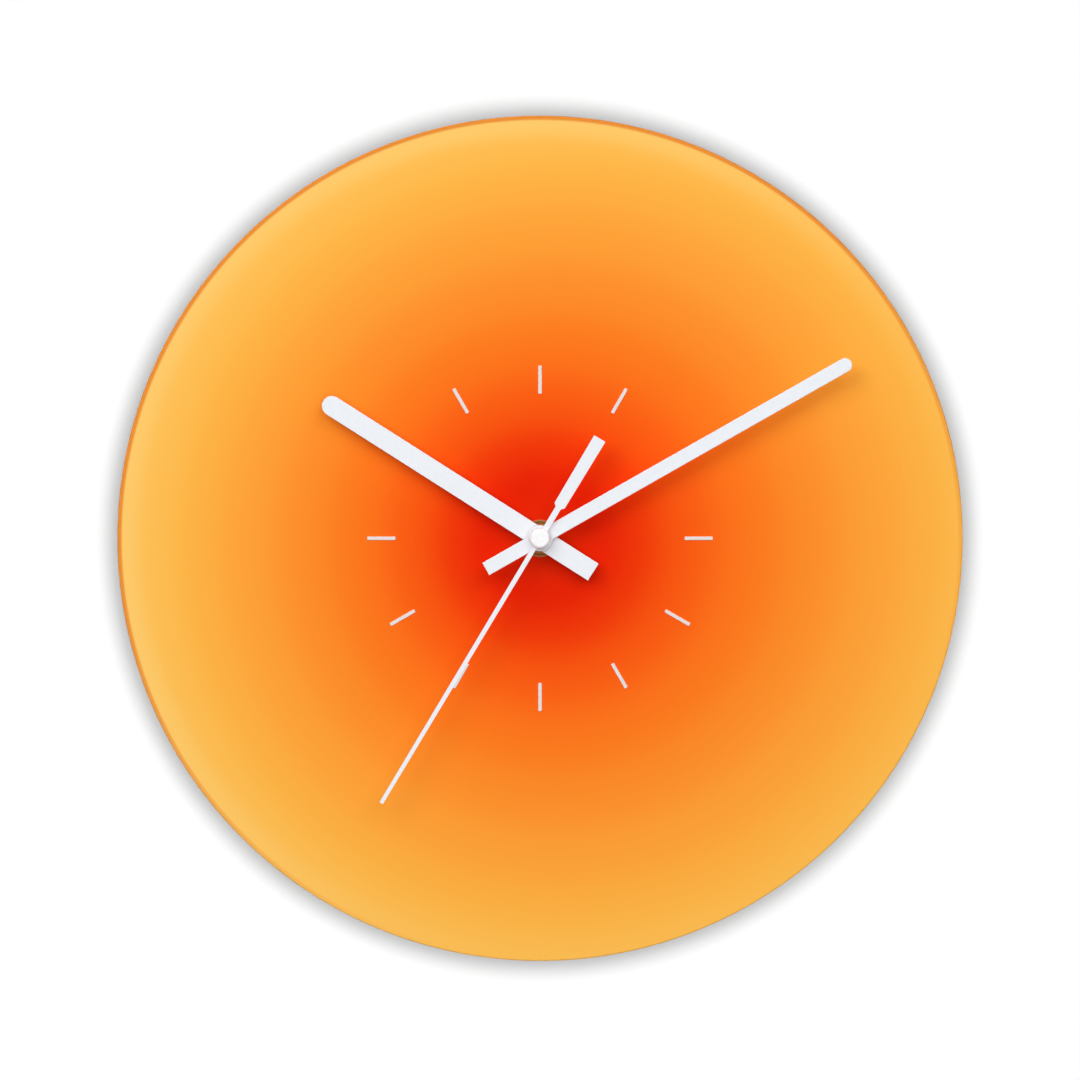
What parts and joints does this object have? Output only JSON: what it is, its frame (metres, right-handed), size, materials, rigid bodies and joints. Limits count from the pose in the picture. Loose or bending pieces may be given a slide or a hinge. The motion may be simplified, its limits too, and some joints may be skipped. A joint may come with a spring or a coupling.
{
  "type": "wall clock",
  "caption": "Frameless round wall clock: colour-graded disc dial with bar markers, three straight hands and a battery quartz movement that hangs on a screw.",
  "frame": {"origin": "on the axis of the hands, where it meets the rear face of the movement (the wall plane)", "axes": "+Z towards 12 o'clock, -Y out of the dial towards the viewer, +Y into the wall, +X towards 3 o'clock"},
  "size_m": [0.3, 0.0352, 0.3],
  "materials": {
    "dial_acrylic": "satin cast acrylic, colour print",
    "marker_white": "satin",
    "hand_white": "satin white enamel",
    "cap_white": "gloss",
    "brass": "turned",
    "rubber_black": "matte",
    "zinc_steel": "zinc plated",
    "case_black": "fine spark texture",
    "bridge_grey": "satin",
    "gear_natural": "satin moulded",
    "arbor_steel": "ground",
    "magnet_dark": "sintered",
    "soft_iron": "stamped",
    "bobbin_white": "satin",
    "copper_wire": "enamelled",
    "board_green": "solder mask",
    "chip_black": "epoxy",
    "crystal_can": "nickel plated",
    "contact_nickel": "nickel plated",
    "knob_black": "satin",
    "cell_metal": "nickel plated",
    "cell_sleeve": "shrink film"
  },
  "bodies": {
    "clock_body": {"dial_disc": "dial_acrylic", "hour_markers": "marker_white", "fixing_nut": "brass", "dial_washer": "brass", "rubber_gasket": "rubber_black", "hanger_bracket": "zinc_steel", "threaded_bushing": "brass", "front_case": "case_black", "rear_case": "case_black", "train_bridge": "bridge_grey", "stator": "soft_iron", "coil_core": "soft_iron", "coil_bobbin": "bobbin_white", "coil_winding": "copper_wire", "circuit_board": "board_green", "chip_cover": "chip_black", "quartz_crystal": "crystal_can", "positive_contact": "contact_nickel", "negative_contact": "contact_nickel"},
    "minute_works": {"minute_hand": "hand_white", "minute_tube": "brass", "centre_wheel": "gear_natural", "clutch_spring": "arbor_steel"},
    "hour_works": {"hour_hand": "hand_white", "hour_wheel": "gear_natural"},
    "second_works": {"second_hand": "hand_white", "second_hand_cap": "cap_white", "second_arbor": "arbor_steel", "second_wheel": "gear_natural"},
    "third_works": {"third_wheel": "gear_natural"},
    "step_works": {"step_wheel": "gear_natural"},
    "rotor": {"rotor_arbor": "gear_natural", "rotor_magnet": "magnet_dark"},
    "idler": {"idler_wheel": "gear_natural"},
    "setting_works": {"setting_pinion": "gear_natural", "setting_knob": "knob_black"},
    "battery": {"battery_can": "cell_metal", "battery_sleeve": "cell_sleeve"}
  },
  "joints": [
    {"name": "minute_hand_turn", "type": "hinge", "parent": "clock_body", "child": "minute_works", "pos_m": [0, -0.01, 0], "axis": [0, 1, 0], "continuous": true},
    {"name": "hour_hand_turn", "type": "hinge", "parent": "clock_body", "child": "hour_works", "pos_m": [0, -0.0135, 0], "axis": [0, 1, 0], "continuous": true},
    {"name": "second_hand_turn", "type": "hinge", "parent": "clock_body", "child": "second_works", "pos_m": [0, -0.0047, 0], "axis": [0, 1, 0], "continuous": true},
    {"name": "third_wheel_turn", "type": "hinge", "parent": "clock_body", "child": "third_works", "pos_m": [0.0109, -0.0065, 0], "axis": [0, 1, 0], "continuous": true},
    {"name": "step_wheel_turn", "type": "hinge", "parent": "clock_body", "child": "step_works", "pos_m": [-0.0038, -0.003, 0.00816], "axis": [0, 1, 0], "continuous": true},
    {"name": "rotor_turn", "type": "hinge", "parent": "clock_body", "child": "rotor", "pos_m": [-0.0003, -0.003, 0.01422], "axis": [0, 1, 0], "continuous": true},
    {"name": "idler_turn", "type": "hinge", "parent": "clock_body", "child": "idler", "pos_m": [-0.01, -0.0118, 0], "axis": [0, 1, 0], "continuous": true},
    {"name": "setting_knob_turn", "type": "hinge", "parent": "clock_body", "child": "setting_works", "pos_m": [-0.01866, -0.002, 0.005], "axis": [0, 1, 0], "continuous": true},
    {"name": "battery_slide", "type": "slide", "parent": "clock_body", "child": "battery", "axis": [0, 1, 0], "range_m": [0, 0.02]}
  ],
  "couplings": [
    {"joint": "hour_hand_turn", "follows": "minute_hand_turn", "ratio": 0.083333},
    {"joint": "second_hand_turn", "follows": "minute_hand_turn", "ratio": 60},
    {"joint": "third_wheel_turn", "follows": "minute_hand_turn", "ratio": -7.5},
    {"joint": "step_wheel_turn", "follows": "minute_hand_turn", "ratio": -300},
    {"joint": "rotor_turn", "follows": "minute_hand_turn", "ratio": 1800},
    {"joint": "idler_turn", "follows": "minute_hand_turn", "ratio": -0.33333},
    {"joint": "setting_knob_turn", "follows": "minute_hand_turn", "ratio": 1}
  ]
}
